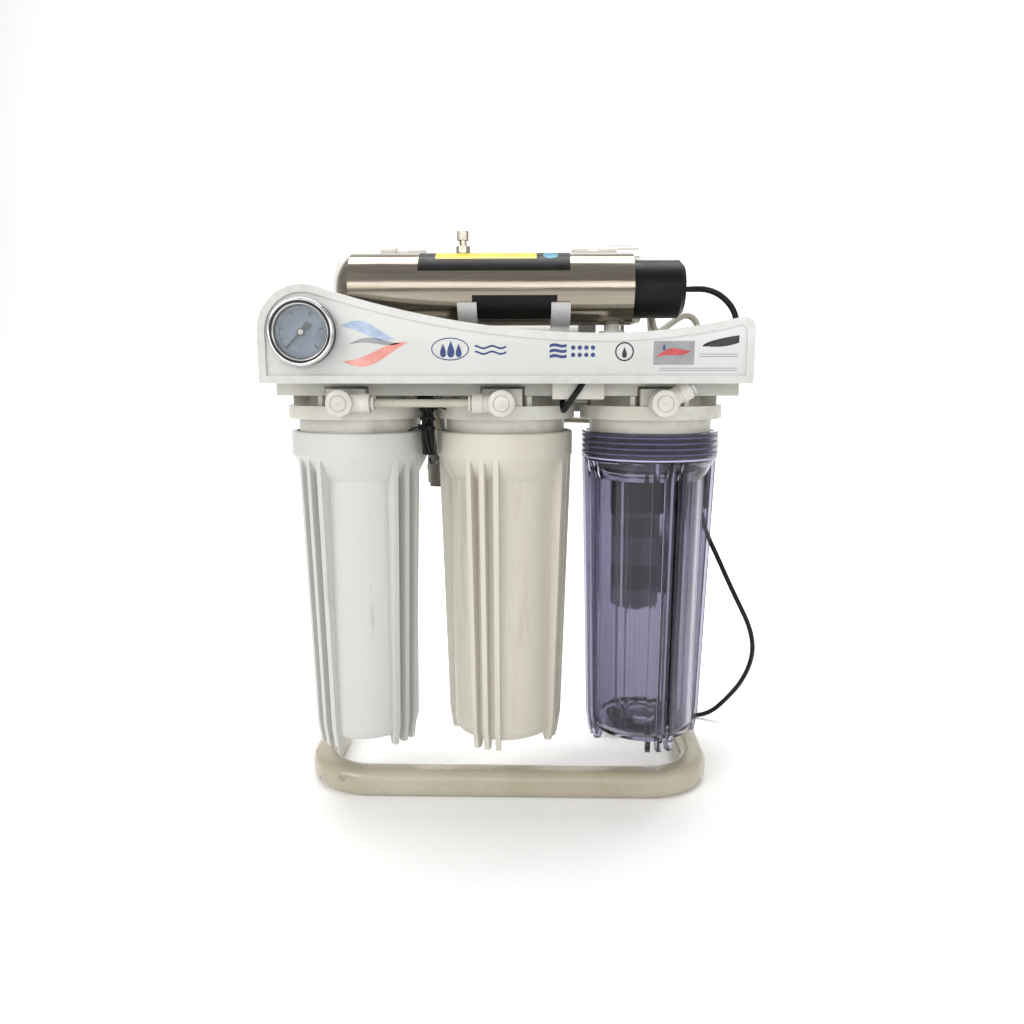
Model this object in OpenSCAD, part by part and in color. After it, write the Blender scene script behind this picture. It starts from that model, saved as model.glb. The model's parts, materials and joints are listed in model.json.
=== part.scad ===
// Under-sink reverse osmosis unit with three screw-on filter housings, a booster pump,
// a membrane housing and an ultraviolet chamber on a bent-tube stand.
// X runs to the right, Y to the back, Z up. The origin is on the floor under the middle of the unit.

/* [Stand] */
// Width across the outside of the two floor legs
stand_w = 377; // [375:1:395]
// Outside size of the stand's rounded-square tube
tube_w = 25; // [22:1:26]
// Radius of the tube's corners
tube_corner = 9; // [6:1:10]
// Wall thickness of the tube
tube_wall = 1.5; // [1:0.1:2]
// Centre-line radius of the tube's bends
bend_r = 50; // [45:1:60]
// Distance from the row of housings forward to the middle of the front bar
bar_front = 28; // [24:1:32]

/* [Bracket] */
// Width of the top bracket
bracket_w = 375; // [374:1:377]
// Height of the bracket's top face above the floor
bracket_z = 376; // [376:1:380]
// Thickness of the sheet steel
sheet = 2; // [1.5:0.1:2.5]
// Distance from the row of housings back to the middle of the uprights
upright_back = 105; // [105:1:110]

/* [Fascia] */
// Width of the moulded front panel
fascia_w = 379; // [375:1:383]
// Height of the panel's lower edge above the floor
fascia_z = 370.5; // [370:0.5:372]
// Thickness of the panel's walls
fascia_wall = 3; // [2:0.5:3]
// Depth of the panel's turned-back edge
fascia_depth = 9; // [8:1:10]

/* [Gauge] */
// Outside diameter of the pressure gauge
gauge_d = 51; // [48:1:52]
// Distance of the gauge's centre to the left of the middle
gauge_left = 154; // [152:1:155]
// Height of the gauge's centre above the floor
gauge_z = 409; // [408:1:410]

/* [Housings] */
// Distance between neighbouring housings
housing_pitch = 127; // [125:1:129]
// How far the row of housings sits to the left of the middle
row_left = 3; // [0:1:4]
// Diameter of the collar round a bowl's mouth
collar_d = 119; // [117:1:120]
// Diameter of a head's flange
flange_d = 122; // [120:1:123]
// Height of a closed bowl's mouth above the floor
mouth_z = 330; // [330:1:332]
// Height of a closed bowl's flat bottom above the floor
bowl_z = 57; // [57:1:62]
// Wall thickness of a bowl
bowl_wall = 4.5; // [4:0.5:5]
// Pitch of the thread that holds a bowl
thread_pitch = 5; // [4:0.5:6]

/* [Plumbing] */
// Outside diameter of the quarter-inch plastic water tube
hose_d = 6.35; // [6.3:0.05:6.4]
// Angle of the open inlet elbow above the horizontal
inlet_angle = 30; // [0:5:45]

/* [Ultraviolet chamber] */
// Outside diameter of the stainless chamber
uv_d = 56; // [54:1:58]
// Height of the chamber's axis above the floor
uv_z = 444.5; // [443:0.5:446]

/* [Membrane housing] */
// Outside diameter of the membrane housing
membrane_d = 60; // [58:1:61]
// Height of the membrane housing's axis above the floor
membrane_z = 456; // [455:1:457]

/* [Mains lead] */
// Outside diameter of the mains lead
cord_d = 4.8; // [4.5:0.1:5.2]
// Mean diameter of the coil that the spare lead is wound into
coil_d = 56; // [50:1:60]

/* [Hidden] */
$fn = 64;

// the row of housings
row_y = -12.5;
left_x = -row_left - housing_pitch;
middle_x = -row_left;
right_x = -row_left + housing_pitch;
collar_r = collar_d / 2;
flange_r = flange_d / 2;
neck_r = 52.5;
port_z = mouth_z + 25;
port_face = 58;
port_bore = 6.5;
stem_r = port_bore - 0.12;
flange_z = mouth_z + 11;
flange_h = 11;
neck_low = mouth_z - 20.7;
seal_z = mouth_z - 22.8;
ledge_z = seal_z - 1.8;
plate_low = bracket_z - sheet;

// the stand
leg_x = stand_w / 2 - tube_w / 2;
bar_y = row_y - bar_front;
upright_y = row_y + upright_back;
upright_front = upright_y - tube_w / 2;
upright_top = plate_low - 3;
bolt_heights = [350, 366];

// the bracket
bracket_front = row_y - 52;
bracket_back = upright_front;
bracket_low = 360.5;
rear_flange_low = 342;
tab_x = [-105, -38, 29, 96];

// the fascia
fascia_front = row_y - 85;
fascia_back = fascia_front + fascia_wall;
crest_r = 36;
wave_x = 75;
wave_z = fascia_z + 38;
crest_x = -142;
crest_z = gauge_z + sqrt(crest_r * crest_r - 12 * 12);
right_rise = 12;

// push-in elbow
elbow_reach = 14;
elbow_r = 10.5;
arm_len = 23;
seat_r = 3.2;
collet_r = 4.95;
collet_bore = 3.25;
seat_depth = 14;

// where the row's ports are
front_port_y = row_y - port_face - elbow_reach;
rear_port_y = row_y + port_face + elbow_reach;

// chambers on top of the bracket
uv_y = row_y - 45;
uv_left = -137;
uv_right = 99.5;
boot_right = 140.5;
membrane_y = row_y + 28;
membrane_left = -156;
membrane_right = 86;
cap_right = 116;
post_y = row_y + 85;
post_z = 405;
post_r = 25;
valley_y = row_y - 8;
valley_z = 475.5;

// pump, valve and adapter behind the housings
pump_x = 123.5;
pump_y = row_y + 92;
pump_r = 28.5;
valve_x = -70;
valve_y = 62;
adapter_low = 250;

// routes of the water tubes, which a smooth curve joins
valve_feed_route = [[-122, rear_port_y, port_z], [-103, rear_port_y, port_z], [-86, 60, 351],
  [-74, 62, 340], [-70, 62, 324], [-70, 62, 314], [-70, 62, 304]];
pump_feed_route = [[-56, 62, 280], [-46, 62, 280], [-34, 68, 285], [-28, 80, 302], [-24, 88, 322],
  [-6, 90, 332], [30, 90, 333], [70, 90, 333], [94, 90, 330], [106, 85, 319], [110, 79.5, 304],
  [110, 79.5, 292]];
membrane_feed_route = [[137, 79.5, 292], [137, 79.5, 304], [138, 85, 322], [140, 90, 345],
  [140, 90, 378], [138, 85, 410], [134, 74, 437], [130, 58, 453], [130, 43, 456],
  [130, membrane_y + 8, 456]];
uv_outlet_route = [[-112, uv_y + 8, 402.5], [-112, -30, 402.5], [-115, -24, 408],
  [-124, -22, 426], [-129, -22, 448], [-124, -21, 466], [-108, valley_y, valley_z],
  [-98, valley_y, valley_z]];
product_route = [[86, valley_y, valley_z], [93, valley_y, valley_z], [106, -22, 471],
  [117, -23, 458], [121, -23, 440], [123, -18, 423], [130, -4, 414], [144, 14, 422],
  [158, 19, 430], [168, 18, 424], [172, 20, 404], [167, 31, 388], [158, 42, 376],
  [152, 51, 363], [150, 60, 358], [150, 70, 358]];
post_inlet_route = [[-120, 59.5, 448], [-120, 59.5, 429], [-123, 64, 415], [-118, 71, 407],
  [-106, post_y, post_z], [-96, post_y, post_z]];
post_outlet_route = [[86, post_y, post_z], [96, post_y, post_z], [107, 66, post_z],
  [111, 40, 404], [109, 8, 403], [99, -14, 402.5], [85, -30, 402.5], [85, uv_y + 8, 402.5]];
drain_route = [[-135, membrane_y + 8, 412], [-135, 43, 412], [-140, 53, 404], [-150, 56, 390],
  [-154, 56, 376], [-155, 57, 365], [-155, 61, 358], [-155, 70, 358]];
gauge_route = [[-154, -60, gauge_z], [-154, -48, 407], [-150, -38, 392], [-130, -30, 384],
  [-60, -8, 383], [20, -6, 383], [76, 0, 384], [94, 8, 392], [101, 14, 408], [102, 15.5, 424]];

// routes of the cables that the unit holds
uv_cable_route = [[boot_right, uv_y, uv_z], [156, -57, 445], [169, -62, 440], [179, -68, 428],
  [182, -72, 412], [180, -74, 396], [170, -70, 385], [148, -58, 381], [110, -46, 381],
  [60, -40, 381], [0, -42, 381], [-45, -44, 384], [-58, -47, 392]];
loom_route = [[-64, -38, 398], [-66, -44, 394], [-66.5, -47.5, 384], [-66.5, -47.5, 360],
  [-66.5, -47.5, 335], [-66.5, -46, 318], [-66.5, -42, 310]];
supply_route = [[178, 58, adapter_low + 69.5], [180, 58, 340], [180, 58, 376], [176, 62, 388], [158, 62, 390],
  [120, 54, 386], [60, 48, 386], [0, 44, 386], [-50, 20, 388], [-60, -20, 394], [-63, -34, 397]];
valve_wire_route = [[-66.5, -39, 307], [-66.5, -30, 302], [-66.5, -12, 299], [-66.5, 20, 299],
  [-63, 42, 306], [-55, 58, 314], [-55, 74, 318], [-62, 86, 318], [-69, 88, 313],
  [-70, 88, 307], [-70, 88, 302]];
switch_wire_route = [[62, -81, 372], [55, -81, 362], [48, -79, 352], [46, -70, 349],
  [46, -58, 356], [48, -48, 368]];

// the mains lead's own route, point by point
cord_route = [[193, 66, 229], [197, 66, 219], [203, 66, 207], [209, 66, 195], [215, 66, 182],
  [222, 67, 168], [229, 68, 154], [236, 69, 141], [243, 71, 127], [248, 74, 113], [251, 78, 98],
  [251, 83, 84], [249, 89, 70], [246, 96, 57], [242, 103, 45], [237, 110, 34], [231, 116, 23],
  [224, 121, 13], [215, 125, 6], [206, 128, 3], [196, 130, 3], [186, 132, 4], [177, 135, 6],
  [168, 139, 9], [161, 143, 12]];
coil_x = 136;
coil_y = 118;
coil_thick = 17;
plug_low = coil_thick + 0.2;
plug_len = 34;
plug_w = 24;
blade_len = 17.5;
blade_pitch = 12.7;

function unit(v) = v / norm(v);
function between(a, b, t) = a + (b - a) * t;
function curve_point(p0, p1, p2, p3, t) =
  0.5 * (2 * p1 + (p2 - p0) * t + (2 * p0 - 5 * p1 + 4 * p2 - p3) * t * t
  + (3 * p1 - p0 - 3 * p2 + p3) * t * t * t);
// A smooth path through a route whose first and last legs stay straight
function smooth_route(points, steps) = [
  points[0],
  for (i = [1 : len(points) - 3]) for (k = [0 : steps - 1])
    curve_point(points[i - 1], points[i], points[i + 1], points[i + 2], k / steps),
  points[len(points) - 2],
  points[len(points) - 1]];
function heading(path, i) = unit(path[min(i + 1, len(path) - 1)] - path[max(i - 1, 0)]);
function side_start(t) = unit(cross(t, abs(t.z) < 0.9 ? [0, 0, 1] : [1, 0, 0]));
function side_at(path, i, side) =
  let (t = heading(path, i), turned = unit(side - (side * t) * t))
  i == len(path) - 1 ? [turned] : concat([turned], side_at(path, i + 1, turned));

// A round tube or cable of radius r swept along a path
module swept(path, r, sides = 8) {
  across = side_at(path, 0, side_start(heading(path, 0)));
  last = len(path) - 1;
  points = [
    for (i = [0 : last]) for (k = [0 : sides - 1])
      path[i] + r * (across[i] * cos(360 * k / sides)
      + cross(heading(path, i), across[i]) * sin(360 * k / sides))];
  walls = [
    for (i = [0 : last - 1]) for (k = [0 : sides - 1])
      let (a = i * sides + k, b = i * sides + (k + 1) % sides)
      each [[a, a + sides, b + sides], [a, b + sides, b]]];
  ends = [[for (k = [0 : sides - 1]) k], [for (k = [sides - 1 : -1 : 0]) last * sides + k]];
  polyhedron(points = points, faces = concat(walls, ends));
}

module hose(route, steps = 3) {
  swept(smooth_route(route, steps), hose_d / 2);
}

// A cylinder that runs along +X, +Y or -Y from the origin
module along_x(h, r) { rotate([0, 90, 0]) cylinder(h = h, r = r); }
module along_y(h, r) { rotate([-90, 0, 0]) cylinder(h = h, r = r); }

// ---------------------------------------------------------------- stand

module tube_section(size, corner) {
  square([size - 2 * corner, size], center = true);
  square([size, size - 2 * corner], center = true);
  for (x = [-1, 1]) for (y = [-1, 1])
    translate([x * (size / 2 - corner), y * (size / 2 - corner)]) circle(r = corner);
}

// One side of the stand from the middle of the front bar to the top of the upright
module stand_side(size, corner, extra) {
  leg_len = upright_y - bend_r - (bar_y + bend_r);
  translate([0, bar_y, tube_w / 2]) rotate([90, 0, 90])
    linear_extrude(leg_x - bend_r) tube_section(size, corner);
  translate([leg_x - bend_r, bar_y + bend_r, tube_w / 2]) rotate([0, 0, -90])
    rotate_extrude(angle = 90) translate([bend_r, 0]) tube_section(size, corner);
  translate([leg_x, bar_y + bend_r, tube_w / 2]) rotate([-90, 0, 0])
    linear_extrude(leg_len) tube_section(size, corner);
  translate([leg_x, upright_y - bend_r, tube_w / 2 + bend_r]) rotate([0, 90, 0])
    rotate_extrude(angle = 90) translate([bend_r, 0]) tube_section(size, corner);
  translate([leg_x, upright_y, tube_w / 2 + bend_r])
    linear_extrude(upright_top - tube_w / 2 - bend_r + extra) tube_section(size, corner);
}

module stand_tube() {
  color("antiquewhite") difference() {
    for (side = [0, 1]) mirror([side, 0, 0]) stand_side(tube_w, tube_corner, 0);
    for (side = [0, 1]) mirror([side, 0, 0])
      stand_side(tube_w - 2 * tube_wall, tube_corner - tube_wall, 1);
    for (x = [-leg_x, leg_x]) for (z = bolt_heights)
      translate([x, upright_front - 1, z]) along_y(tube_wall + 3, 3.3);
  }
}

// ---------------------------------------------------------------- bracket

module head_screw_places() {
  for (x = [left_x, middle_x, right_x]) for (a = [45 : 90 : 315])
    translate([x + 28 * cos(a), row_y + 28 * sin(a), 0]) children();
}

module top_bracket() {
  color("gainsboro") difference() {
    union() {
      translate([-bracket_w / 2, bracket_front, plate_low])
        cube([bracket_w, bracket_back - bracket_front, sheet]);
      translate([-bracket_w / 2, bracket_front, bracket_low])
        cube([bracket_w, sheet, bracket_z - bracket_low]);
      translate([-bracket_w / 2, bracket_back - sheet, rear_flange_low])
        cube([bracket_w, sheet, bracket_z - rear_flange_low]);
      for (x = [-bracket_w / 2, bracket_w / 2 - sheet])
        translate([x, bracket_front, bracket_low])
          cube([sheet, bracket_back - bracket_front, bracket_z - bracket_low]);
      for (x = tab_x) {
        translate([x - 12, fascia_back + 6, plate_low]) cube([24, bracket_front - fascia_back - 6, sheet]);
        translate([x - 12, fascia_back + 6, plate_low]) cube([24, sheet, 20]);
      }
    }
    for (x = [left_x, middle_x, right_x])
      translate([x - 18, bracket_front - 1, bracket_low - 1]) cube([36, sheet + 2, 8.5]);
    for (x = [-leg_x, leg_x]) for (z = bolt_heights)
      translate([x, bracket_back - sheet - 1, z]) along_y(sheet + 2, 3.3);
    for (x = tab_x) translate([x, fascia_back + 5, plate_low + 14]) along_y(sheet + 2, 1.7);
    head_screw_places() translate([0, 0, plate_low - 1]) cylinder(h = sheet + 2, r = 2.6);
    for (p = [[158, 42], [-154, 56], [180, 58]])
      translate([p.x, p.y, plate_low - 1]) cylinder(h = sheet + 2, r = 6);
    translate([-66.5, -47.5, plate_low - 1]) cylinder(h = sheet + 2, r = 8);
    for (x = [150, -155]) translate([x, bracket_back - sheet - 1, 358]) along_y(sheet + 2, 5);
  }
}

// Steel plates that carry the pump, the solenoid valve and the adapter
module mount_plates() {
  color("silver") {
    difference() {
      union() {
        translate([leg_x - tube_w / 2 - sheet, 52, 150]) cube([sheet, 56, 82]);
        translate([pump_x + 18, pump_y - 14, 162])
          cube([leg_x - tube_w / 2 - sheet - pump_x - 18, 28, 58]);
      }
      translate([pump_x, pump_y, 140]) cylinder(h = 120, r = pump_r);
    }
    difference() {
      union() {
        translate([valve_x - 12, valve_y + 10, 272]) cube([24, sheet, 73]);
        translate([valve_x - 12, valve_y + 10, 343]) cube([24, 6, sheet]);
        translate([valve_x - 12, bracket_back - 2 * sheet, 343]) cube([24, sheet, 20]);
      }
      translate([valve_x, valve_y, 287]) along_y(20, 8);
    }
    translate([leg_x - tube_w / 2 - 10, 77.5, adapter_low + 8]) cube([30, bracket_back - 77.5, 48]);
  }
}

module bracket_bolts() {
  color("silver") for (x = [-leg_x, leg_x]) for (z = bolt_heights)
    translate([x, bracket_back - sheet - 4, z]) {
      rotate([-90, 0, 0]) cylinder(h = 4, r = 5, $fn = 6);
      along_y(20, 3);
    }
}

module head_screws() {
  color("silver") head_screw_places() {
    translate([0, 0, bracket_z]) cylinder(h = 3, r = 4.2);
    translate([0, 0, plate_low - 11]) cylinder(h = 13.5, r = 2.4);
  }
}

// ---------------------------------------------------------------- fascia and gauge

function wave_rise(x) = x < wave_x
  ? (crest_z - wave_z) * pow((x - wave_x) / (crest_x - wave_x), 2)
  : right_rise * pow((x - wave_x) / (fascia_w / 2 - 9 - wave_x), 2);

// Outline of the panel, drawn in by a margin
function fascia_outline(margin) =
  let (right = fascia_w / 2 - margin, low = fascia_z + margin, r = crest_r - margin,
    corner = 9 - margin / 2, top = wave_z + right_rise - margin)
  concat(
    [[-gauge_left - r, low], [right, low], [right, top - corner]],
    [for (a = [15 : 15 : 90]) [right - corner + corner * cos(a), top - corner + corner * sin(a)]],
    [for (k = [1 : 23]) let (x = between(right - corner, crest_x, k / 24))
      [x, wave_z + wave_rise(x) - margin]],
    [for (a = [70.5 : 9.5 : 180.1]) [-gauge_left + r * cos(a), gauge_z + r * sin(a)]]);

module fascia_slab(margin, y, depth) {
  translate([0, y + depth, 0]) rotate([90, 0, 0]) linear_extrude(depth) polygon(fascia_outline(margin));
}

module fascia_panel() {
  color("ivory") difference() {
    union() {
      difference() {
        fascia_slab(0, fascia_front - 1.5, fascia_depth + 1.5);
        fascia_slab(fascia_wall, fascia_back, fascia_depth);
        fascia_slab(6, fascia_front - 2.5, 2.5);
      }
      for (x = tab_x) translate([x, fascia_back - 0.5, plate_low + 14]) along_y(6.5, 4.5);
    }
    translate([-gauge_left, fascia_front - 5, gauge_z]) along_y(20, 23.4);
    for (x = tab_x) translate([x, fascia_back + 0.5, plate_low + 14]) along_y(10, 1.5);
    translate([right_x + 6, fascia_back, fascia_z - 1]) cube([34, fascia_depth, fascia_wall + 2]);
  }
}

module fascia_screws() {
  color("silver") for (x = tab_x) translate([x, fascia_back + 1, plate_low + 14]) {
    along_y(8, 1.4);
    translate([0, 5 + sheet, 0]) along_y(2, 3.2);
  }
}

module at_gauge(y) {
  translate([-gauge_left, y, gauge_z]) children();
}

module gauge_case() {
  color("dimgray") difference() {
    union() {
      at_gauge(fascia_front - 8) along_y(8, gauge_d / 2 - 0.5);
      at_gauge(fascia_front - 1) along_y(22, 23);
      at_gauge(fascia_front + 20) along_y(12, 5);
      at_gauge(fascia_front + 24) rotate([-90, 0, 0]) cylinder(h = 7, r = 8, $fn = 6);
    }
    at_gauge(fascia_front - 9) along_y(27, 21.5);
    at_gauge(fascia_front + 17) along_y(20, 1.5);
  }
}

module gauge_bezel() {
  color("lightgray") difference() {
    at_gauge(fascia_front - 12) along_y(4, gauge_d / 2);
    at_gauge(fascia_front - 10.5) along_y(4, 22);
    at_gauge(fascia_front - 13) along_y(4, 20.5);
  }
}

module gauge_lens() {
  color("azure") at_gauge(fascia_front - 10.5) along_y(1.2, 21.9);
}

module gauge_dial() {
  color("slategray") difference() {
    at_gauge(fascia_front - 6) along_y(0.8, 21.4);
    at_gauge(fascia_front - 7) along_y(3, 1.05);
  }
}

module gauge_movement() {
  color("goldenrod") {
    difference() {
      at_gauge(fascia_front - 5.2) along_y(12, 7);
      at_gauge(fascia_front - 6) along_y(10, 1.05);
    }
    at_gauge(fascia_front + 2) rotate([-90, 0, 0]) rotate([0, 0, 20])
      rotate_extrude(angle = 250) translate([15, 0]) square([2.5, 6], center = true);
    at_gauge(fascia_front + 5) translate([-3, -1, -14]) cube([6, 4, 9]);
    at_gauge(fascia_front + 6.8) along_y(11.2, 4);
  }
}

module gauge_pointer() {
  zero_angle = 225;
  color("black") {
    at_gauge(fascia_front - 8.6) along_y(1.4, 3);
    at_gauge(fascia_front - 8) along_y(8, 1);
    at_gauge(fascia_front - 7.6) rotate([90, 0, 0]) rotate([0, 0, zero_angle])
      linear_extrude(0.6) polygon([[-9, -2.2], [-7, -2.6], [0, -1.2], [17, -0.4], [17, 0.4],
        [0, 1.2], [-7, 2.6], [-9, 2.2]]);
  }
}

// ---------------------------------------------------------------- heads and bowls

// A head with its outlet port at the back (1) or at the front (-1)
module filter_head(x, outlet) {
  translate([x, row_y, 0]) difference() {
    union() {
      translate([0, 0, flange_z]) cylinder(h = flange_h, r = flange_r);
      translate([0, 0, mouth_z]) cylinder(h = 12, r = neck_r);
      translate([0, 0, neck_low]) cylinder(h = 22, r = neck_r - 1);
      for (k = [0 : 3])
        translate([0, 0, neck_low + 1.5 + thread_pitch * k]) cylinder(h = 2, r = neck_r + 0.8);
      translate([0, 0, flange_z + flange_h])
        cylinder(h = plate_low - flange_z - flange_h, r1 = 46, r2 = 42);
      translate([-16, -port_face, flange_z + 4]) cube([32, 2 * port_face, 21]);
      for (a = [22.5 : 45 : 337.5]) rotate([0, 0, a])
        translate([44, -2, flange_z + 5]) cube([13, 4, 14]);
    }
    difference() {
      translate([0, 0, neck_low - 1]) cylinder(h = 36, r = 45);
      translate([0, 0, neck_low + 8]) cylinder(h = 40, r = 13);
    }
    translate([0, 0, neck_low]) cylinder(h = port_z - neck_low, r = 7);
    for (side = [-1, 1]) translate([0, side * port_face, port_z]) rotate([side * 90, 0, 0])
      translate([0, 0, -4]) cylinder(h = 28, r = port_bore);
    translate([0, -outlet * 34, neck_low + 30]) cylinder(h = port_z - neck_low - 30, r = 5);
    translate([0, 0, port_z]) rotate([-outlet * 90, 0, 0]) cylinder(h = 40, r = port_bore);
    for (a = [45 : 90 : 315]) translate([28 * cos(a), 28 * sin(a), plate_low - 12])
      cylinder(h = 20, r = 2.5);
  }
}

module head_left() { color("whitesmoke") filter_head(left_x, 1); }
module head_middle() { color("whitesmoke") filter_head(middle_x, -1); }
module head_right() { color("whitesmoke") filter_head(right_x, 1); }

module bowl_seal(x) {
  color("black") translate([x, row_y, seal_z]) rotate_extrude() translate([49.5, 0]) circle(r = 1.75);
}

module bowl_seal_left() { bowl_seal(left_x); }
module bowl_seal_middle() { bowl_seal(middle_x); }
module bowl_seal_right() { bowl_seal(right_x); }

// A bowl whose ribs start at an angle from the front
module filter_bowl(x, rib_angle) {
  core_top = 48.5;
  core_low = 46;
  translate([x, row_y, 0]) difference() {
    union() {
      rotate_extrude() polygon([[0, bowl_z], [core_low - 6, bowl_z], [core_low - 1.5, bowl_z + 2.5],
        [core_low, bowl_z + 8], [core_top, mouth_z - 41], [core_top + 3, mouth_z - 36],
        [collar_r, mouth_z - 20], [collar_r, mouth_z - 1], [collar_r - 1, mouth_z],
        [0, mouth_z]]);
      for (quarter = [0 : 90 : 270]) for (step = [-12, 0, 12])
        rotate([0, 0, rib_angle + quarter + step - 90]) rotate([90, 0, 0]) translate([0, 0, -2.2])
          linear_extrude(4.4) polygon([[40, bowl_z + 4], [43, bowl_z - 6], [48.5, bowl_z - 6],
            [51.5, bowl_z + 14], [58.5, mouth_z - 26], [58.5, mouth_z - 20], [40, mouth_z - 20]]);
    }
    rotate_extrude() polygon([[0, bowl_z + 5], [core_low - 9, bowl_z + 5],
      [core_low - bowl_wall, bowl_z + 9], [core_top - bowl_wall, mouth_z - 40],
      [core_top - bowl_wall, ledge_z], [neck_r + 2.8, ledge_z], [neck_r + 2.8, mouth_z + 1],
      [0, mouth_z + 1]]);
  }
  translate([x, row_y, 0]) {
    for (k = [0 : 3]) translate([0, 0, ledge_z + 5.5 + thread_pitch * k]) difference() {
      cylinder(h = 2, r = neck_r + 4);
      translate([0, 0, -1]) cylinder(h = 4, r = neck_r + 1.4);
    }
    translate([0, 0, bowl_z + 4]) cylinder(h = 9, r = 12.5);
  }
}

module bowl_left() { color("whitesmoke") filter_bowl(left_x, -38); }
module bowl_middle() { color("linen") filter_bowl(middle_x, -17.5); }
module bowl_clear() { color("mediumpurple", 0.5) filter_bowl(right_x, 11); }

module cartridge(x) {
  translate([x, row_y, bowl_z + 5.3]) difference() {
    cylinder(h = 248, r = 31);
    translate([0, 0, -1]) cylinder(h = 250, r = 13.6);
  }
}

module sediment_cartridge() { color("white") cartridge(left_x); }
module carbon_cartridge() { color("dimgray") cartridge(middle_x); }

// ---------------------------------------------------------------- push-in elbows

// A push-in elbow: its stem points along +Y and its arm lies in XZ at an angle from +X
module push_elbow(angle, has_collet = true, stem_in = 10) {
  difference() {
    union() {
      translate([0, -10, 0]) along_y(19.5, elbow_r);
      translate([0, 5, 0]) along_y(elbow_reach - 5 + stem_in, stem_r);
      rotate([0, -angle, 0]) {
        along_x(arm_len, 7);
        translate([arm_len - 8, 0, 0]) along_x(8, 7.8);
      }
    }
    along_y(30, 3);
    rotate([0, -angle, 0]) {
      along_x(arm_len + 1, 2.4);
      translate([4, 0, 0]) along_x(arm_len, seat_r);
      translate([seat_depth, 0, 0]) along_x(arm_len, collet_r + 0.05);
    }
  }
  if (has_collet) rotate([0, -angle, 0]) collet();
}

module collet() {
  difference() {
    union() {
      translate([seat_depth + 1.6, 0, 0]) along_x(arm_len - seat_depth, collet_r);
      translate([arm_len + 1.6, 0, 0]) along_x(1.5, 6.2);
    }
    along_x(arm_len + 5, collet_bore);
  }
}

module front_elbows() {
  color("white") {
    translate([left_x, front_port_y, port_z]) push_elbow(0);
    translate([middle_x, front_port_y, port_z]) push_elbow(180);
  }
}

module inlet_elbow() {
  color("white") translate([right_x, front_port_y, port_z]) push_elbow(inlet_angle, false);
}

module inlet_collet() {
  color("gainsboro") translate([right_x, front_port_y, port_z]) rotate([0, -inlet_angle, 0]) collet();
}

module rear_elbows() {
  color("white") {
    translate([left_x, rear_port_y, port_z]) rotate([0, 0, 180]) push_elbow(180);
    translate([middle_x, rear_port_y, port_z]) rotate([0, 0, 180]) push_elbow(180);
    translate([right_x, rear_port_y, port_z]) rotate([0, 0, 180]) push_elbow(0);
  }
}

module link_tubes() {
  color("white") {
    translate([left_x + 8, front_port_y, port_z]) along_x(housing_pitch - 16, hose_d / 2);
    translate([middle_x + 8, rear_port_y, port_z]) along_x(housing_pitch - 16, hose_d / 2);
  }
}

// Elbows on the ultraviolet chamber and the membrane housing
module housing_elbows() {
  color("white") {
    for (x = [-112, 85])
      translate([x, uv_y, uv_z - uv_d / 2 - elbow_reach]) rotate([90, 0, 0]) push_elbow(-90);
    translate([-135, membrane_y, membrane_z - membrane_d / 2 - elbow_reach])
      rotate([90, 0, 0]) push_elbow(-90, stem_in = 4);
    translate([-120, membrane_y + membrane_d / 2 + elbow_reach, membrane_z])
      rotate([0, 0, 180]) push_elbow(-90, stem_in = 4);
    translate([cap_right + elbow_reach, membrane_y, membrane_z]) rotate([0, 0, 90]) push_elbow(0);
  }
}

// ---------------------------------------------------------------- ultraviolet chamber

module uv_shell(r, left, right) {
  intersection() {
    translate([left + r + 6, uv_y, uv_z]) sphere(r = r + 6);
    translate([left, uv_y, uv_z]) along_x(r + 6, r);
  }
  translate([left + r, uv_y, uv_z]) along_x(right - left - r, r);
}

module uv_chamber() {
  color("silver") difference() {
    union() {
      uv_shell(uv_d / 2, uv_left, uv_right);
      translate([uv_right - 1, uv_y, uv_z]) along_x(13, 16);
    }
    uv_shell(uv_d / 2 - 1.5, uv_left + 1.5, uv_right - 3);
    translate([uv_right - 5, uv_y, uv_z]) along_x(20, 11.6);
    for (x = [-112, 85]) translate([x, uv_y, uv_z - uv_d / 2 - 1]) cylinder(h = 8, r = port_bore);
    translate([-34.5, uv_y, uv_z + uv_d / 2 - 6]) cylinder(h = 8, r = 4);
  }
}

module quartz_sleeve() {
  color("lightcyan") difference() {
    translate([-100, uv_y, uv_z]) along_x(219, 11.5);
    translate([-98.5, uv_y, uv_z]) along_x(230, 10.2);
  }
}

module uv_lamp() {
  color("white") {
    translate([-92, uv_y, uv_z]) along_x(192, 7.5);
    translate([100, uv_y, uv_z]) along_x(18, 9);
  }
}

module uv_end_boot() {
  color("black") difference() {
    union() {
      translate([uv_right, uv_y, uv_z]) along_x(boot_right - uv_right - 4, 22.5);
      translate([boot_right - 4, uv_y, uv_z]) rotate([0, 90, 0]) cylinder(h = 4, r1 = 22.5, r2 = 18.5);
    }
    translate([uv_right - 1, uv_y, uv_z]) along_x(17.5, 16.1);
    translate([uv_right - 1, uv_y, uv_z]) along_x(32, 12);
  }
}

module bleed_valve_body() {
  color("silver") {
    translate([-34.5, uv_y, uv_z + uv_d / 2 - 4]) difference() {
      cylinder(h = 9, r = 4);
      translate([0, 0, -1]) cylinder(h = 11, r = 1.5);
    }
    translate([-34.5, uv_y, uv_z + uv_d / 2 + 0.3]) difference() {
      cylinder(h = 5.2, r = 5.6, $fn = 6);
      translate([0, 0, -1]) cylinder(h = 8, r = 1.5);
    }
  }
}

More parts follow.
